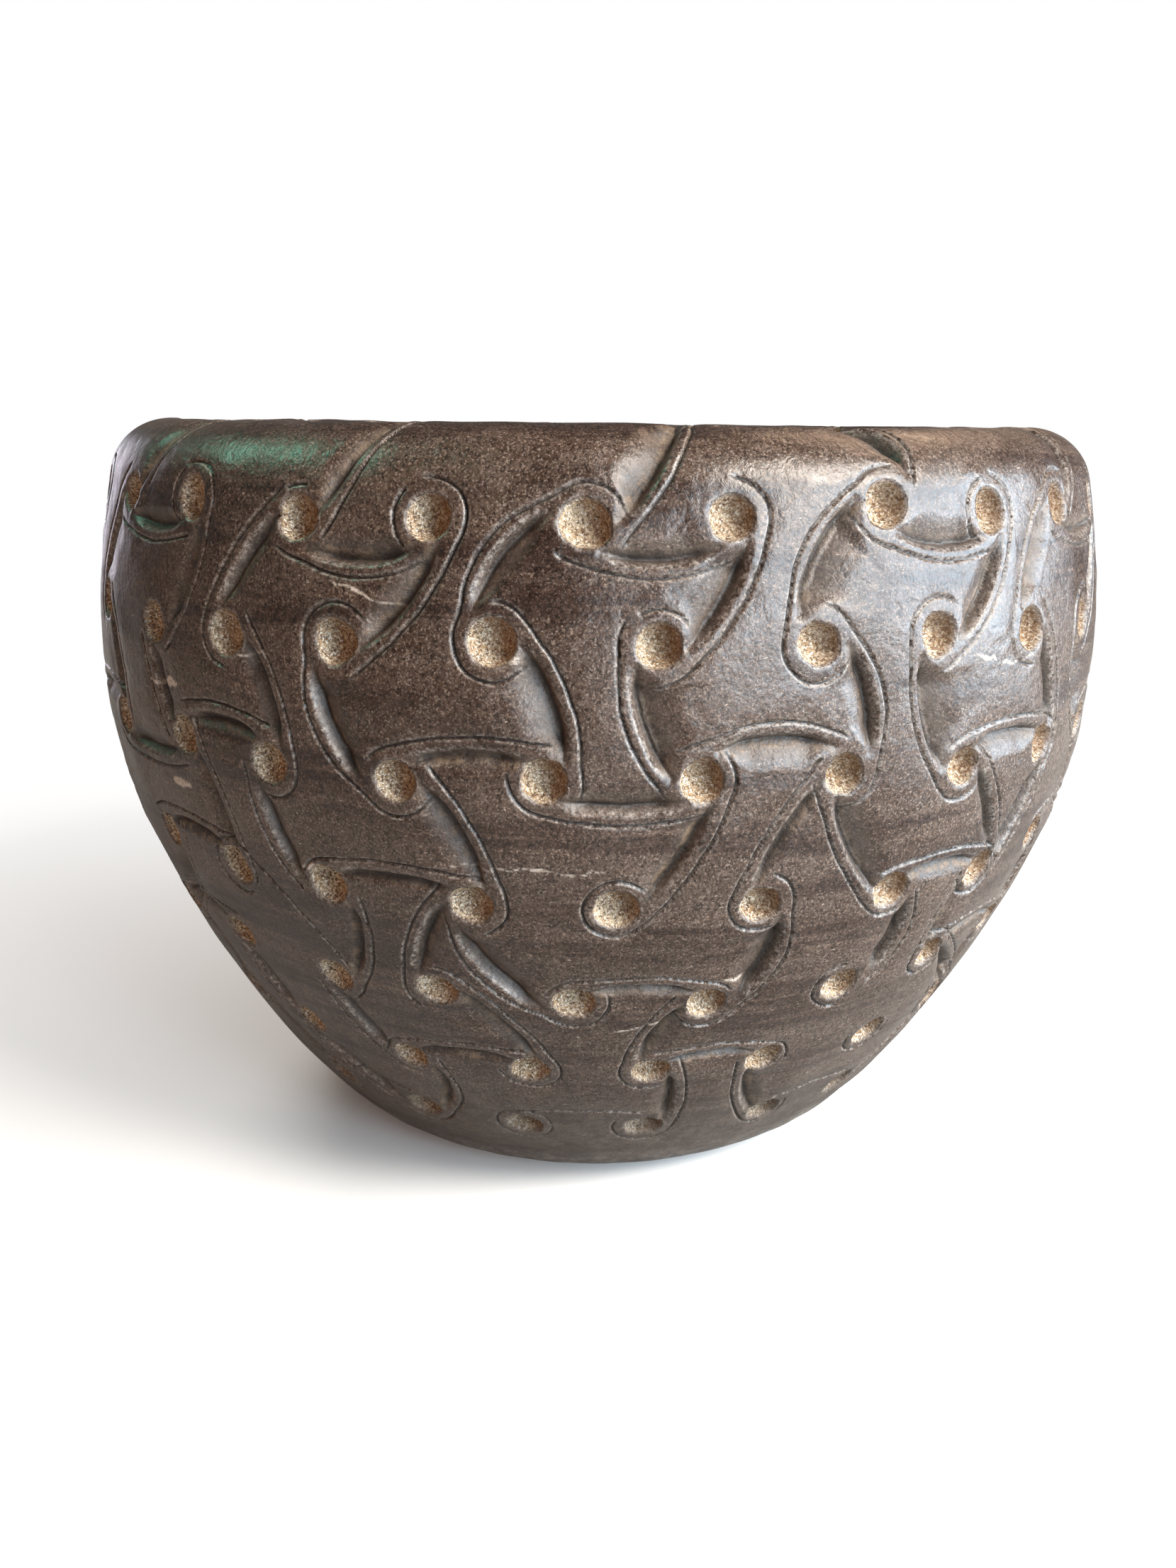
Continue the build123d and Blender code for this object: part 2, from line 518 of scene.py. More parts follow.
# The front's strokes: (row, pit, lean, bulge, hook at the start, hook at the end, facet width). Half a turn
# on, they come again.
FRONT_STROKES = [
    (0, -4, -1, -8.5, 0, 0, 3.5),
    (0, -2, -1, -9.0, 0, 10, 3.5),
    (0, 0, -1, -11.5, 0, 10, 5.5),
    (0, 1, 1, -15.0, 0, 0, 5.0),
    (0, 4, -1, -10.0, 0, 0, 4.0),
    (1, -4, 0, 10.5, 40, 0, 3.0),
    (1, -2, 0, 11.5, 42, 0, 3.4),
    (1, 0, 0, 11.0, 52, 0, 3.2),
    (1, 2, 0, 10.5, 70, 0, 4.2),
    (1, 4, 0, 10.0, 40, 0, 3.0),
    (1, -4, -1, 9.5, 30, 90, 3.0),
    (1, -3, -1, -11.0, 157, 20, 4.0),
    (1, -2, -1, 9.5, 20, 124, 3.0),
    (1, -1, -1, -10.0, 138, 26, 4.5),
    (1, 0, -1, 12.5, 130, 180, 3.2),
    (1, 1, -1, -10.0, 125, 60, 6.0),
    (1, 2, -1, 12.5, 75, 185, 7.0),
    (1, 3, -1, -11.5, 125, 50, 4.2),
    (1, 4, -1, 11.0, 90, 130, 4.0),
    (2, -4, 1, -9.0, 20, 60, 3.5),
    (2, -3, 1, 7.5, 0, 20, 3.0),
    (2, -2, 1, -10.3, 15, 137, 4.0),
    (2, -1, 1, 13.0, 167, 128, 4.6),
    (2, 0, 1, -10.6, 72, 45, 6.0),
    (2, 1, 1, 11.5, 55, 10, 6.5),
    (2, 2, 1, -12.0, 65, 119, 4.5),
    (2, 3, 1, 11.5, 150, 140, 6.5),
    (2, 4, 1, -10.0, 40, 90, 4.0),
    (3, -4, 0, 9.0, 60, 0, 3.0),
    (3, -3, 0, -10.5, 0, 5, 3.0),
    (3, -1, 0, -9.3, 56, 16, 3.2),
    (3, 0, 0, 9.3, 100, 10, 3.6),
    (3, 1, 0, -12.0, 42, 0, 4.6),
    (3, 3, 0, -9.0, 54, 50, 4.0),
    (3, -3, 1, -8.0, 30, 50, 3.0),
    (3, -2, 1, 11.0, 15, 0, 3.2),
    (3, -1, 1, -10.0, 0, 100, 4.4),
    (3, 1, -1, -9.0, 80, 295, 4.2),
    (3, 2, 1, 9.0, 20, 112, 6.0),
    (3, 2, -1, 9.0, 10, 158, 1.8),
    (3, 3, 1, -9.0, 0, 35, 3.2),
    (4, -3, 1, -9.0, 160, 0, 0),
    (4, -2, 0, -8.2, 70, 30, 1.5),
    (4, 2, 0, -7.8, 47, 30, 3.0),
    (4, -2, -1, -11.0, 0, 50, 3.2),
    (4, -1, -1, 10.2, 10, 80, 4.2),
    (4, -1, 1, 12.9, 16, 160, 5.0),
    (4, 1, -1, -12.6, 88, 134, 5.6),
    (4, 2, -1, -12.5, 0, 0, 4.2),
    (4, 3, -1, 9.0, 0, 90, 3.0),
    (5, -3, 1, 8.5, 0, 60, 3.0),
    (5, 0, 0, -8.8, 73, 52, 2.0),
    (5, 1, -1, 9.8, 0, 142, 4.0),
    (5, -1, 1, -9.6, 50, 210, 4.4),
    (5, -2, 1, 9.5, 0, 72, 3.4),
    (6, -2, 0, -8.7, 90, 0, 1.5),
    (6, 0, 0, -8.2, 0, 112, 1.6),
    (6, -2, -1, -11.5, 16, 85, 3.0),
    (6, 0, 1, -9.8, 30, 215, 3.4),
    (6, 1, 1, 8.6, 22, 195, 3.4),
    (6, 3, -1, -9.0, 40, 60, 3.0),
    (7, -1, 0, -9.0, 0, 0, 0),
    (7, 1, 0, -8.0, 0, 0, 0),
]
# Lines that circle one pit: (row, pit, radius, from angle, to angle). Angles are from the right, turning
# down.
FRONT_RINGS = [
    (1, -3, 7.4, 125, 235),
    (1, -1, 7.4, 130, 228),
    (1, 3, 7.2, 120, 250),
    (1, -2, 6.6, 238, 285),
    (2, 1, 7.0, 235, 325),
    (4, -3, 7.6, 60, 250),
    (4, 3, 7.4, 20, 170),
    (5, 2, 7.2, 80, 265),
    (5, 3, 7.2, 0, 350),
    (6, 2, 7.4, -20, 200),
    (7, -1, 7.2, 0, 350),
]
# The strokes of the sides between: (row, lean, bulge, hook at the start, hook at the end, facet width). The
# columns of pits take the two sets in turn.
EVEN_STROKES = [
    (0, -1, -10.5, 0, 40, 4.5),
    (1, 0, 11.0, 45, 0, 3.4),
    (1, -1, 12.0, 110, 150, 3.6),
    (2, 1, -10.5, 60, 90, 4.8),
    (3, -1, -9.0, 60, 120, 4.2),
    (4, -1, -11.5, 60, 110, 4.8),
    (4, 0, -8.5, 50, 20, 2.2),
    (5, -1, 9.6, 20, 130, 3.8),
    (6, 1, -9.5, 25, 170, 3.2),
    (7, 0, -8.4, 20, 0, 0),
]
ODD_STROKES = [
    (1, -1, -10.5, 135, 60, 4.6),
    (2, 1, 12.0, 120, 110, 5.2),
    (3, 0, -10.0, 50, 10, 3.6),
    (3, 1, 9.0, 20, 110, 4.8),
    (4, 1, 12.0, 20, 130, 4.4),
    (5, 1, -9.0, 0, 120, 3.6),
    (5, 0, -8.8, 60, 40, 2.0),
    (6, 1, 8.8, 20, 120, 3.0),
]
# The last and first pits of each row, counted from its turn, that have strokes of their own on the front.
FRONT_LAST = [4, 4, 4, 3, 3, 2, 3, 2]
FRONT_FIRST = [-4, -4, -4, -4, -3, -3, -2, -1]

for row, column, *how in FRONT_STROKES:
    for half in (0, halves[row]):
        make(row, column + half, *how)
for row, column, *how in FRONT_RINGS:
    for half in (0, halves[row]):
        ring(pit(row, column + half), *how)
for column in range(max(halves)):
    for row, *how in ODD_STROKES if column % 2 else EVEN_STROKES:
        if FRONT_LAST[row] < column < halves[row] + FRONT_FIRST[row]:
            for half in (0, halves[row]):
                make(row, column + half, *how, share=0.12)


# ---------------- pits

PIT_RADIUS = 4.8
PIT_DEPTH = 4.2
PIT_MARGIN = 7.5
SPHERE = (PIT_RADIUS**2 + PIT_DEPTH**2) / (2 * PIT_DEPTH)
MOUTH_LOBES = ((2, 0.030), (3, 0.022), (5, 0.014), (9, 0.010))
CHIP_DEPTH, CHIP_REACH = 0.22, 0.42
RIM_OF_PIT = 1.2
PIT_ROUGHNESS = 0.075
TOOL_MARKS, TOOL_LOBES, TOOL_DEPTH, TOOL_TWIST = 3, (9, 24), (0.05, 0.13), 1.5
PIT_RIM_PALE_AT, PIT_RIM_PALE_REACH, PIT_RIM_PALE = 0.2, 0.4, 0.45


def carve_pit(phi, s, size):
    """A round pit with an uneven, chipped mouth, and the marks of the tool running in to its middle."""
    where, across, down = patch(phi, -PIT_MARGIN, PIT_MARGIN, s - PIT_MARGIN, s + PIT_MARGIN)
    down = down - s
    rho, theta = np.hypot(across, down), np.arctan2(down, across)
    mouth = PIT_RADIUS * size * np.ones_like(rho)
    for lobes, amount in MOUTH_LOBES:
        mouth *= 1 + amount * rng.normal() * np.cos(lobes * theta + rng.uniform(0, TURN))
    gap = rho - mouth
    close = np.abs(gap) < 1.1 * SNAP
    on_rim = rho < mouth + RIM_OF_PIT
    share = np.where(close, mouth / np.maximum(rho, 1e-6) - 1, 0)
    shift_across[where] = np.where(close, share * across, np.where(on_rim, 0, shift_across[where]))
    shift_down[where] = np.where(close, share * down, np.where(on_rim, 0, shift_down[where]))

    from_middle = np.clip(np.where(close, mouth, rho) / mouth, 0, 1)
    round_floor = np.sqrt(SPHERE**2 - (from_middle * PIT_RADIUS) ** 2) - (SPHERE - PIT_DEPTH)
    tool_marks = sum(
        rng.uniform(*TOOL_DEPTH) * np.cos(lobes * theta + rng.uniform(0, TURN) + TOOL_TWIST * from_middle)
        for lobes in rng.integers(*TOOL_LOBES, TOOL_MARKS)
    )
    rough = tool_marks + rng.normal(0, PIT_ROUGHNESS, rho.shape)
    level = round_floor * (0.92 + 0.16 * rng.random())
    level = level + rough * smooth(from_middle * 1.6) * smooth((1 - from_middle) * 9)
    chips = 0.6 + 0.4 * np.cos(4 * theta + rng.uniform(0, TURN))
    chipped = CHIP_DEPTH * hump(np.maximum(gap, 0), 0, CHIP_REACH) * chips
    old = depth[where]
    outside_mouth = np.where(on_rim, np.maximum(old, chipped), old)
    depth[where] = np.where(from_middle < 1, np.maximum(old, level), outside_mouth)

    mark("pit", where, from_middle < 1)
    # A pale ring just outside the mouth, and no painted shade of channels and lines inside the pit or at its
    # edge.
    mark("pale", where, PIT_RIM_PALE * hump(gap, PIT_RIM_PALE_AT, PIT_RIM_PALE_REACH))
    masks["dark"][where] = np.where(gap < PIT_RIM_PALE_AT, 0, masks["dark"][where])
    # Painted shade: each pit is darkened towards its upper right, the side that a light from the upper right
    # leaves in shadow.
    to_upper_right = (0.85 * across - 0.45 * down) / mouth
    shade_in_pit = smooth(0.42 + 0.75 * to_upper_right) * rng.uniform(0.7, 1.0)
    masks["pit_shade"][where] = np.where(rho < mouth + SNAP, shade_in_pit, masks["pit_shade"][where])


for key in sorted(pits):
    carve_pit(*pits[key])

# ---------------- veins

# Broken pale veins: (azimuth in degrees, distance, length, thickness). These are on the front, and more are
# scattered over the sides and the back.
FRONT_VEINS = [
    (-44, 66, 13, 1.6),
    (-43, 90, 8, 1.5),
    (-31, 57, 11, 0.5),
    (-19, 41, 17, 0.6),
    (-6, 98, 34, 0.45),
    (39, 56, 24, 0.6),
    (-27, 103, 6, 1.2),
    (14, 127, 5, 1.0),
    (-7, 52, 5, 1.3),
    (6, 142, 16, 0.4),
]
OTHER_VEINS = 46
VEIN_STEP = 1.4
VEIN_MARGIN = 3.0


def draw_vein(azimuth, distance, length, thickness):
    """A thin, wandering streak across the surface, thicker in places, with tapering ends."""
    steps = max(4, int(length / VEIN_STEP))
    x = np.linspace(-length / 2, length / 2, steps)
    y = distance + np.cumsum(rng.normal(0, 0.42, steps)) + x * rng.normal(0.02, 0.08)
    vein = np.c_[x, y]
    where, across, down = path_patch(math.radians(azimuth), vein, VEIN_MARGIN)
    signed, t, _, _, _ = nearest(across, down, vein)
    knots = np.interp(t, np.linspace(0, 1, steps), np.abs(rng.normal(0.55, 0.35, steps)))
    thick = 0.7 * thickness * knots * smooth(np.minimum(t, 1 - t) / 0.12 + 0.15)
    mark("vein", where, smooth((thick - np.abs(signed) + 0.12) / 0.3))


veins = FRONT_VEINS + [
    (rng.uniform(65, 295), rng.uniform(8, 190), rng.uniform(4, 28), rng.uniform(0.3, 1.3))
    for _ in range(OTHER_VEINS)
]
for vein in veins:
    draw_vein(*vein)

# ---------------- rings of the whole mesh

# The inside is worked with a broad gouge, in short strokes that overlap, and left duller than the outside.
GOUGE_LENGTH, GOUGE_WIDTH, GOUGE_DEPTH = 17.0, 8.5, 0.32
GOUGED_RADIUS = 100
# The whole surface is slowly uneven. That fades out towards the foot, and from inside towards RIM_MIDDLE.
MEAN_RADIUS = 130
SLOW_COLUMNS = 720
RIM_MIDDLE = -6
FINE_ROUGHNESS = 0.006
PIT_LIKE = 3.0
# Rings are closest in the carved band, and have fewer columns towards the middles of the floor and the foot.
HALF, QUARTER, EIGHTH = COLUMNS // 2, COLUMNS // 4, COLUMNS // 8
WALL_FROM = FLOOR_EDGE + 20
UNDERSIDE_FROM = FOOT_EDGE + 0.5


def zone(start, stop, step, columns):
    """Rings about step mm apart, from start to just before stop: each a distance and a count of columns."""
    count = max(1, round((stop - start) / step))
    return [(start + (stop - start) * i / count, columns) for i in range(count)]


def surface_waves(phi, s, count, lengths, amount):
    """A smooth uneven surface, as waves in every direction with lengths in the given range, in mm."""
    total = np.zeros(np.broadcast(phi, s).shape, np.float32)
    for _ in range(count):
        length, way = rng.uniform(*lengths), rng.uniform(0, math.pi)
        round_waves = round(math.cos(way) * TURN * MEAN_RADIUS / length)
        along = math.sin(way) * TURN * s / length
        total += rng.normal() * np.sin(round_waves * phi + along + rng.uniform(0, TURN))
    return total * amount / math.sqrt(count)


def unevenness(phi, s):
    """The slow unevenness at each vertex of a ring, read between the points of a coarse grid."""
    at = np.clip(s - slow_s[0], 0, len(slow_s) - 1.001)
    row = np.floor(at).astype(int)
    x = (phi % TURN) / TURN * SLOW_COLUMNS
    column = np.floor(x).astype(int)
    u, v = x - column, at - row
    top = slow[row, column] * (1 - u) + slow[row, column + 1] * u
    low = slow[row + 1, column] * (1 - u) + slow[row + 1, column + 1] * u
    return top * (1 - v) + low * v


def gouged(phi, s):
    """Depth of the gouge's strokes. Each lane down the hollow starts them at a scrambled distance."""
    lane = phi * GOUGED_RADIUS / GOUGE_WIDTH
    scrambled = np.sin(np.floor(lane) * 12.9898) * 43758.5453
    down = s / GOUGE_LENGTH + (scrambled - np.floor(scrambled))
    lane, down = lane - np.floor(lane), down - np.floor(down)
    strokes = GOUGE_DEPTH * (1 - (2 * lane - 1) ** 2) * (0.4 + 0.6 * down) * smooth((1 - down) * 8)
    return strokes * smooth((LIP_START + 6 - s) / 10) * smooth((s - FLOOR_CENTRE - 6) / 12)


before = zone(FLOOR_CENTRE + 1.5, FLOOR_EDGE, 1.6, EIGHTH)
before += zone(FLOOR_EDGE, WALL_FROM, 1.0, QUARTER)
before += zone(WALL_FROM, LIP_START, 0.85, HALF)
before += zone(LIP_START, CARVED_FROM, 0.5, COLUMNS)
after = zone(row_s[-1] + 0.5, UNDERSIDE_FROM, 0.6, HALF)
after += zone(UNDERSIDE_FROM, FOOT_CENTRE - 1.5, 2.0, EIGHTH)
rings = before + [(s, COLUMNS) for s in row_s] + after

slow_phi = np.linspace(0, TURN, SLOW_COLUMNS + 1)[None, :]
slow_s = np.arange(FLOOR_CENTRE, FOOT_CENTRE + 2, 1.0)
slow = surface_waves(slow_phi, slow_s[:, None], 9, (60, 150), 0.28)
slow += surface_waves(slow_phi, slow_s[:, None], 16, (14, 34), 0.10)
at_foot = smooth((FOOT_EDGE - 6 - slow_s) / 25)
at_rim = smooth(np.where(slow_s < RIM_MIDDLE, (RIM_MIDDLE - slow_s) / 14, 1))
slow *= (at_foot * at_rim)[:, None]

positions, starts, ring_masks = [], [], {name: [] for name in MARKS}
total = 0
for index, (s, columns) in enumerate(rings):
    phi = np.arange(columns) * TURN / columns
    row = index - len(before)
    carved = 0 <= row < len(row_s)
    if carved:
        cut = depth[row] + soft[row] * (depth[row] < PIT_LIKE)
        phi = phi + shift_across[row] / row_r[row]
        s_here = s + shift_down[row]
    else:
        cut = gouged(phi, s) if s < CARVED_FROM else np.zeros(columns)
        s_here = np.full(columns, s)
    for name in MARKS:
        ring_masks[name].append(masks[name][row] if carved else np.zeros(columns, np.float32))
    r, z, nr, nz = outline(s_here)
    fine = rng.normal(0, FINE_ROUGHNESS, columns)
    inward = np.abs(fine) if s > FOOT_EDGE - 1 else cut + unevenness(phi, s_here) + fine
    r, z = r - inward * nr, z - inward * nz
    positions.append(np.c_[r * np.sin(phi), -r * np.cos(phi), z])
    starts.append(total)
    total += columns
floor_middle, foot_middle = total, total + 1
positions.append(np.array([(0.0, 0.0, FLOOR_HEIGHT), (0.0, 0.0, 0.0)]))

# ---------------- mesh

# Each face band is its corners' vertices and their places on the unrolled surface.
quads, triangles = [], []
v_of = [(s - FLOOR_CENTRE) / (FOOT_CENTRE - FLOOR_CENTRE) for s, _ in rings]


def uv(columns, j, v):
    return np.stack([j / columns, np.full(len(j), v)], axis=1)


def join_alike(i):
    """Quads between ring i and the next, which has as many columns."""
    n = rings[i][1]
    a, b, va, vb = starts[i], starts[i + 1], v_of[i], v_of[i + 1]
    j = np.arange(n)
    k = (j + 1) % n
    corners = np.stack([a + j, b + j, b + k, a + k], axis=1)
    at = np.stack([uv(n, j, va), uv(n, j, vb), uv(n, j + 1, vb), uv(n, j + 1, va)], axis=1)
    quads.append((corners, at))


def join_unlike(i):
    """Triangles between ring i and the next, where one has a whole number of times the other's columns."""
    to_more = rings[i][1] < rings[i + 1][1]
    less, more = (i, i + 1) if to_more else (i + 1, i)
    few, many = rings[less][1], rings[more][1]
    coarse, fine, v_coarse, v_fine = starts[less], starts[more], v_of[less], v_of[more]
    ratio = many // few
    j = np.arange(few)
    way = slice(None) if to_more else slice(None, None, -1)
    for part in range(ratio):
        corner_j = j + (part >= ratio / 2)
        f0, f1 = j * ratio + part, j * ratio + part + 1
        corners = np.stack([coarse + corner_j % few, fine + f0, fine + f1 % many], axis=1)
        at = np.stack([uv(few, corner_j, v_coarse), uv(many, f0, v_fine), uv(many, f1, v_fine)], axis=1)
        triangles.append((corners[:, way], at[:, way]))
    middle = j * ratio + (ratio + 1) // 2
    corners = np.stack([coarse + j, fine + middle % many, coarse + (j + 1) % few], axis=1)
    at = np.stack([uv(few, j, v_coarse), uv(many, middle, v_fine), uv(few, j + 1, v_coarse)], axis=1)
    triangles.append((corners[:, way], at[:, way]))


def close_end(i, centre, v_centre, way):
    """Triangles from a ring to the one vertex in its middle."""
    n, v = rings[i][1], v_of[i]
    j = np.arange(n)
    corners = np.stack([np.full(n, centre), starts[i] + (j + 1) % n, starts[i] + j], axis=1)
    at = np.stack([uv(n, j + 0.5, v_centre), uv(n, j + 1, v), uv(n, j, v)], axis=1)
    triangles.append((corners[:, ::way], at[:, ::way]))


for i in range(len(rings) - 1):
    if rings[i][1] == rings[i + 1][1]:
        join_alike(i)
    else:
        join_unlike(i)
close_end(0, floor_middle, 0.0, -1)
close_end(len(rings) - 1, foot_middle, 1.0, 1)

quads, quad_uv = (np.vstack(part) for part in zip(*quads))
triangles, triangle_uv = (np.vstack(part) for part in zip(*triangles))
corners = np.r_[quads.ravel(), triangles.ravel()].astype(np.int32)
corner_uv = np.r_[quad_uv.ravel(), triangle_uv.ravel()].astype(np.float32)
face_starts = np.r_[np.arange(len(quads)) * 4, quads.size + np.arange(len(triangles)) * 3].astype(np.int32)
points = np.vstack(positions).astype(np.float32) * MM

mesh = bpy.data.meshes.new("bowl_surface")
mesh.vertices.add(len(points))
mesh.vertices.foreach_set("co", points.ravel())
mesh.loops.add(len(corners))
mesh.loops.foreach_set("vertex_index", corners)
mesh.polygons.add(len(face_starts))
mesh.polygons.foreach_set("loop_start", face_starts)
mesh.update(calc_edges=True)
mesh.polygons.foreach_set("use_smooth", np.ones(len(face_starts), bool))
mesh.uv_layers.new(name="OFBake").data.foreach_set("uv", corner_uv)
for name in MARKS:
    values = np.r_[np.concatenate(ring_masks[name]), 0.0, 0.0].astype(np.float32)
    mesh.attributes.new(name, "FLOAT", "POINT").data.foreach_set("value", values)
mesh.update()
bowl = bpy.data.objects.new("bowl_surface", mesh)
bpy.context.scene.collection.objects.link(bowl)

# ---------------- stone

# Colours of the stone itself, from its ground to its palest flecks, the tints of its bands, and its veins.
DEEP_BROWN, BROWN = (0.038, 0.018, 0.010, 1), (0.056, 0.034, 0.024, 1)
CLOUDED, MOTTLED = (0.070, 0.042, 0.029, 1), (0.120, 0.085, 0.066, 1)
GRAIN, SPECK, FLECK = (0.010, 0.005, 0.003, 1), (0.32, 0.24, 0.19, 1), (0.44, 0.35, 0.28, 1)
PLAIN_TINT, BAND_TINT = (1.06, 1.06, 1.06, 1), (0.42, 0.32, 0.29, 1)
THIN_BAND_TINT = (1.25, 1.2, 1.16, 1)
VEIN = (0.50, 0.42, 0.35, 1)
# Colours of what the carving leaves, and of painted light: a fresh cut, earth and painted shade in the
# bottoms, dust with a painted highlight on the edges.
CUT, EARTH = (0.100, 0.078, 0.063, 1), (0.30, 0.20, 0.12, 1)
SHADE, DUST_AND_HIGHLIGHT = (0.010, 0.006, 0.004, 1), (0.46, 0.40, 0.35, 1)
# Colours of the raw stone in the pits, and of the shade painted on their upper right sides.
OCHRE, CREAM = (0.36, 0.215, 0.105, 1), (0.54, 0.42, 0.285, 1)
HOLE, CRYSTAL, PIT_SHADE = (0.070, 0.030, 0.012, 1), (0.90, 0.83, 0.70, 1), (0.150, 0.068, 0.028, 1)
# Colours of the scuffed foot and the dull hollow.
SCUFF = (0.46, 0.40, 0.34, 1)
DULL_DARK, DULL_PALE = (0.060, 0.045, 0.035, 1), (0.135, 0.105, 0.082, 1)
HOLLOW_RADIUS = 112.0


class Nodes:
    """Short ways to put nodes into one material or world."""

    def __init__(self, owner):
        owner.use_nodes = True
        self.tree = owner.node_tree
        self.tree.nodes.clear()

    def put(self, kind, inputs, **settings):
        made = self.tree.nodes.new(kind)
        for name, value in settings.items():
            setattr(made, name, value)
        for key, value in inputs.items():
            if isinstance(value, bpy.types.NodeSocket):
                self.tree.links.new(value, made.inputs[key])
            else:
                made.inputs[key].default_value = value
        return made

    def math(self, operation, a, b, clamp=False):
        return self.put("ShaderNodeMath", {0: a, 1: b}, operation=operation, use_clamp=clamp).outputs[0]

    def times(self, a, b):
        return self.math("MULTIPLY", a, b)

    def plus(self, a, b):
        return self.math("ADD", a, b)

    def mix(self, factor, a, b, blend="MIX"):
        settings = {"data_type": "RGBA", "blend_type": blend}
        return self.put("ShaderNodeMix", {0: factor, 6: a, 7: b}, **settings).outputs[2]

    def noise(self, vector, scale, detail, roughness=0.55, distortion=0.0):
        inputs = {"Vector": vector, "Scale": scale, "Detail": detail, "Roughness": roughness}
        inputs["Distortion"] = distortion
        return self.put("ShaderNodeTexNoise", inputs).outputs["Fac"]

    def between(self, value, low, high, to_low=0.0, to_high=1.0):
        """value taken from low..high to to_low..to_high, and held inside them."""
        inputs = {"Value": value, "From Min": low, "From Max": high, "To Min": to_low, "To Max": to_high}
        return self.put("ShaderNodeMapRange", inputs, clamp=True).outputs["Result"]

    def place(self):
        return self.put("ShaderNodeTexCoord", {}).outputs["Object"]

    def stretched(self, vector, x, y, z):
        return self.put("ShaderNodeVectorMath", {0: vector, 1: (x, y, z)}, operation="MULTIPLY").outputs[0]

    def length(self, vector):
        return self.put("ShaderNodeVectorMath", {0: vector}, operation="LENGTH").outputs["Value"]

    def attribute(self, name):
        return self.put("ShaderNodeAttribute", {}, attribute_name=name).outputs["Fac"]

    def camera_ray(self):
        return self.put("ShaderNodeLightPath", {}).outputs["Is Camera Ray"]

    def background(self, colour, strength):
        return self.put("ShaderNodeBackground", {"Color": colour, "Strength": strength}).outputs[0]

    def either(self, share, a, b):
        """Shader a, or shader b by its share."""
        return self.put("ShaderNodeMixShader", {0: share, 1: a, 2: b}).outputs[0]


def plain_stone(n, mm, mottle, cloud, grain, specks):
    """The stone's own colour: brown ground, clouds, dark grain, pale specks and level bands."""
    broad = n.noise(mm, 0.014, 3.0)
    bands = n.noise(n.stretched(mm, 0.012, 0.012, 0.11), 1.0, 7.0, 0.62, 0.6)
    thin_bands = n.noise(n.stretched(mm, 0.03, 0.03, 0.55), 1.0, 5.0, 0.6, 0.3)
    flecks = n.noise(n.stretched(mm, 0.5, 0.5, 1.2), 1.0, 2.0, 0.5)
    colour = n.mix(n.between(broad, 0.35, 0.65), DEEP_BROWN, BROWN)
    colour = n.mix(n.between(cloud, 0.35, 0.7, 0.0, 0.75), colour, CLOUDED)
    colour = n.mix(n.between(mottle, 0.42, 0.66, 0.0, 0.5), colour, MOTTLED)
    colour = n.mix(n.between(grain, 0.38, 0.54, 0.9, 0.0), colour, GRAIN)
    colour = n.mix(n.between(specks, 0.53, 0.68, 0.0, 0.62), colour, SPECK)
    colour = n.mix(n.between(flecks, 0.72, 0.77, 0.0, 0.6), colour, FLECK)
    tint = n.mix(n.between(bands, 0.47, 0.60), PLAIN_TINT, BAND_TINT)
    tint = n.mix(n.between(thin_bands, 0.52, 0.70), tint, THIN_BAND_TINT)
    return n.mix(0.85, colour, tint, "MULTIPLY")


def raw_stone(n, mm, mottle, specks):
    """The crumbly, unpolished stone in the pits, with painted shade towards their upper right."""
    crumbs = n.noise(mm, 1.4, 5.0, 0.75)
    colour = n.mix(n.between(mottle, 0.38, 0.62), OCHRE, CREAM)
    colour = n.mix(n.between(crumbs, 0.42, 0.55, 0.92, 0.0), colour, HOLE)
    colour = n.mix(n.between(specks, 0.52, 0.64, 0.0, 0.9), colour, CRYSTAL)
    shade_in_pit = n.times(n.attribute("pit_shade"), n.between(crumbs, 0.36, 0.62, 1.0, 0.45))
    return n.mix(shade_in_pit, colour, PIT_SHADE)


def stone_relief(n, mm, pit, cut, earth):
    """Small bumps, in mm: fine everywhere, wrinkles under the polish, and crumbs in the pits."""
    relief = n.times(n.noise(mm, 1.1, 6.0, 0.7), n.plus(0.025, n.times(pit, 0.5)))
    relief = n.plus(relief, n.times(n.noise(mm, 0.14, 5.0, 0.55, 0.8), 0.42))
    relief = n.plus(relief, n.times(n.noise(mm, 0.45, 4.0, 0.65, 1.0), 0.17))
    relief = n.plus(relief, n.times(cut, n.times(n.noise(mm, 1.8, 3.0), 0.06)))
    relief = n.plus(relief, n.times(earth, n.times(n.noise(mm, 0.9, 6.0, 0.7), 0.4)))
    return n.put("ShaderNodeBump", {"Height": relief, "Distance": MM, "Strength": 1.0}).outputs["Normal"]


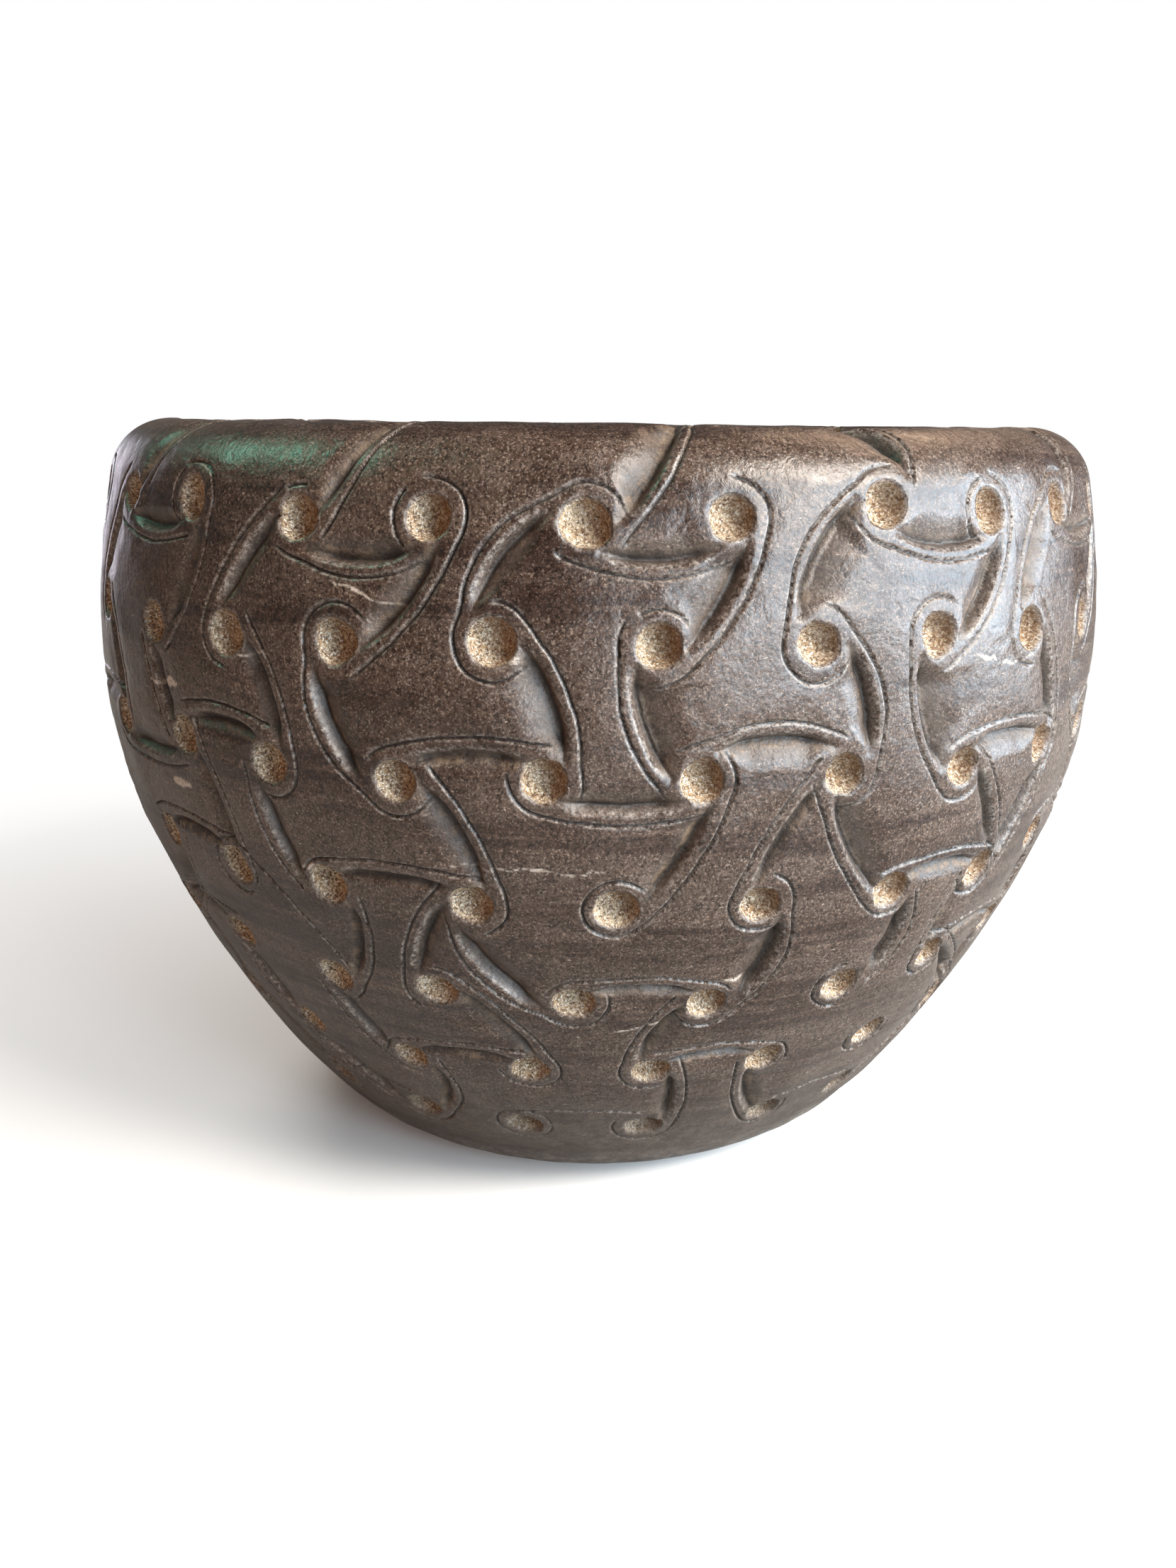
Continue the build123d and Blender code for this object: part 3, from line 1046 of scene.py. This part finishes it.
def stone_material():
    """Dark, fine-speckled stone: polished, but with dust and a painted highlight on cut edges, painted shade
    in the cuts and on each pit's upper right, raw in the pits and dull in the hollow.
    """
    material = bpy.data.materials.new("dark_speckled_stone")
    n = Nodes(material)
    mm = n.stretched(n.place(), 1 / MM, 1 / MM, 1 / MM)
    height = n.put("ShaderNodeSeparateXYZ", {0: mm}).outputs["Z"]
    cloud = n.noise(mm, 0.06, 6.0, 0.62, 0.4)
    mottle = n.noise(mm, 0.30, 6.0, 0.7)
    grain = n.noise(mm, 1.2, 4.0, 0.75)
    specks = n.noise(mm, 2.0, 3.0, 0.7)

    pit, cut = n.attribute("pit"), n.attribute("cut")
    vein = n.times(n.attribute("vein"), n.between(grain, 0.34, 0.52))
    earth = n.times(n.attribute("tan"), n.between(mottle, 0.45, 0.6, 0.0, 0.8))
    dust_and_highlight = n.times(n.attribute("pale"), n.between(n.noise(mm, 0.9, 5.0, 0.75), 0.46, 0.62))
    shade = n.times(n.attribute("dark"), n.between(cloud, 0.35, 0.65, 0.6, 1.0))
    scuff = n.times(n.between(height, 2.0, 16.0, 0.55, 0.0), n.between(mottle, 0.46, 0.66))
    inwards = n.math("SUBTRACT", HOLLOW_RADIUS, n.length(n.stretched(mm, 1, 1, 0)))
    hollow = n.times(n.between(inwards, 0.0, 12.0), n.between(height, 15.0, 16.5))

    colour = n.mix(vein, plain_stone(n, mm, mottle, cloud, grain, specks), VEIN)
    colour = n.mix(n.times(cut, n.between(mottle, 0.3, 0.7, 0.2, 0.6)), colour, CUT)
    colour = n.mix(earth, colour, EARTH)
    # Dust with a painted highlight on the edges of cuts, a pale ring round each pit, and painted shade in the
    # bottoms of channels and lines.
    colour = n.mix(n.times(dust_and_highlight, 0.8), colour, DUST_AND_HIGHLIGHT)
    colour = n.mix(shade, colour, SHADE)
    colour = n.mix(pit, colour, raw_stone(n, mm, mottle, specks))
    colour = n.mix(scuff, colour, SCUFF)
    dull = n.mix(n.between(mottle, 0.35, 0.7), DULL_DARK, DULL_PALE)
    colour = n.mix(n.times(hollow, 0.55), colour, dull)

    rough = n.between(n.noise(mm, 0.08, 5.0, 0.6), 0.3, 0.7, 0.24, 0.42)
    rough = n.plus(rough, n.between(specks, 0.5, 0.75, 0.0, 0.15))
    rough = n.plus(rough, n.times(cut, 0.16))
    rough = n.plus(rough, n.times(hollow, 0.22))
    for matt, roughness in ((dust_and_highlight, 0.7), (shade, 0.8), (scuff, 0.8), (pit, 0.95)):
        rough = n.math("MAXIMUM", rough, n.times(matt, roughness))
    rough = n.math("MAXIMUM", rough, n.times(earth, 0.9), clamp=True)

    normal = stone_relief(n, mm, pit, cut, earth)
    inputs = {"Base Color": colour, "Roughness": rough, "Normal": normal, "IOR": 1.52}
    surface = n.put("ShaderNodeBsdfPrincipled", inputs).outputs["BSDF"]
    n.put("ShaderNodeOutputMaterial", {"Surface": surface})
    return material


mesh.materials.append(stone_material())
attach(bowl, "root")
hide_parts("carved_bowl")

# ---------------- floor and light, in metres

FLOOR_SIZE = 8.0
FLOOR_DARK, FLOOR_PALE = (0.80, 0.79, 0.77, 1), (0.86, 0.85, 0.84, 1)
FLOOR_SHADED = (0.33, 0.32, 0.305, 1)
WHITE = (1, 1, 1, 1)
AMBIENT, AMBIENT_STRENGTH = (0.95, 0.96, 1.0, 1), 0.13
ALL_ROUND = 180.0


def floor_material():
    """A pale floor that the camera sees fade to white, and that everything else sees darker."""
    material = bpy.data.materials.new("pale_floor")
    n = Nodes(material)
    place = n.place()
    seen = n.camera_ray()
    colour = n.mix(n.noise(place, 6.0, 4.0), FLOOR_DARK, FLOOR_PALE)
    near = n.put("ShaderNodeBsdfPrincipled", {"Base Color": colour, "Roughness": 0.75}).outputs["BSDF"]
    glow = n.put("ShaderNodeEmission", {"Color": WHITE, "Strength": 1.0}).outputs["Emission"]
    shaded = n.put("ShaderNodeBsdfDiffuse", {"Color": FLOOR_SHADED}).outputs["BSDF"]
    far = n.times(n.between(n.length(place), 0.10, 0.48), seen)
    surface = n.either(far, n.either(seen, shaded, near), glow)
    n.put("ShaderNodeOutputMaterial", {"Surface": surface})
    return material


def floor():
    made = bpy.data.meshes.new("floor")
    corners = [(x * FLOOR_SIZE, y * FLOOR_SIZE, 0) for x, y in ((-1, -1), (1, -1), (1, 1), (-1, 1))]
    made.from_pydata(corners, [], [range(len(corners))])
    made.materials.append(floor_material())
    holder = bpy.data.objects.new("floor", made)
    bpy.context.scene.collection.objects.link(holder)
    holder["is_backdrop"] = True


def panel(
    name, place, size, power, colour, diffuse=True, glossy=True, target=(0.0, 0.0, 0.12), spread=ALL_ROUND
):
    """A soft light: a rectangle that faces the target. It may give only its reflection in the polish, or
    all but that, and a narrow spread keeps it to the target."""
    light = bpy.data.lights.new(name, "AREA")
    light.shape = "RECTANGLE"
    light.size, light.size_y = size
    light.energy = power
    light.color = colour
    light.spread = math.radians(spread)
    holder = bpy.data.objects.new(name, light)
    holder.location = place
    holder.rotation_euler = (Vector(target) - Vector(place)).to_track_quat("-Z", "Y").to_euler()
    bpy.context.scene.collection.objects.link(holder)
    holder.visible_camera = False
    holder.visible_diffuse = diffuse
    holder.visible_glossy = glossy
    holder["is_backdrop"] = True


def lights():
    """Two cold windows and a warm lamp on the right, weak lights all round, and a green gleam."""
    panel("window", (0.95, -0.22, 0.30), (0.70, 0.5), 17.0, (0.72, 0.87, 1.0))
    panel("next_window", (0.70, -0.88, 0.36), (0.42, 0.5), 12.0, (0.74, 0.88, 1.0))
    panel("key", (1.15, -0.80, 1.20), (0.65, 0.65), 52.0, (1.0, 0.93, 0.84))
    panel("low_front", (0.45, -1.25, 0.12), (0.5, 0.2), 3.0, (0.95, 0.97, 1.0), diffuse=False)
    panel("left_edge", (-0.9, 0.95, 0.25), (0.3, 0.4), 1.6, (0.93, 0.88, 1.0))
    panel("back", (-0.5, 1.35, 0.75), (0.9, 0.6), 26.0, (1.0, 0.97, 0.93), glossy=False)
    upper_left = {"target": (-0.11, -0.08, 0.19), "spread": 20.0}
    panel("green", (-1.0, 0.1, 1.05), (0.6, 0.5), 0.21, (0.33, 1.0, 0.72), diffuse=False, **upper_left)
    panel("warm_left", (-1.05, -0.75, 0.45), (0.5, 0.5), 3.2, (1.0, 0.48, 0.20), glossy=False)
    panel("warm_top", (0.6, 0.8, 1.1), (0.5, 0.3), 3.2, (1.0, 0.70, 0.48), diffuse=False)


def surroundings():
    """A dim, even light, in front of which the camera sees white."""
    world = bpy.data.worlds.new("studio")
    bpy.context.scene.world = world
    n = Nodes(world)
    dim, bright = n.background(AMBIENT, AMBIENT_STRENGTH), n.background(WHITE, 1.0)
    n.put("ShaderNodeOutputWorld", {"Surface": n.either(n.camera_ray(), dim, bright)})


floor()
lights()
surroundings()

# ---------------- camera

# It stands level with the rim, close to the bowl, and looks down a little.
CAMERA_DISTANCE = 0.363
SENSOR, LENS = 36.0, 27.50452
PITCH, YAW, ROLL = 16.76, 0.35, 0.65
NEAREST_SEEN = 0.02


def turned(degrees, axis):
    return Matrix.Rotation(math.radians(degrees), 3, axis)


camera = bpy.data.objects.new("camera", bpy.data.cameras.new("camera"))
camera.data.sensor_width = SENSOR
camera.data.lens = LENS
camera.data.clip_start = NEAREST_SEEN
camera.location = (0.0, -CAMERA_DISTANCE, cad_high.z)
camera.rotation_mode = "QUATERNION"
aim = turned(YAW, "Z") @ turned(90 - PITCH, "X") @ turned(ROLL, "Z")
camera.rotation_quaternion = aim.to_quaternion()
bpy.context.scene.collection.objects.link(camera)
bpy.context.scene.camera = camera
bpy.context.scene.view_settings.view_transform = "Standard"

low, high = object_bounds()
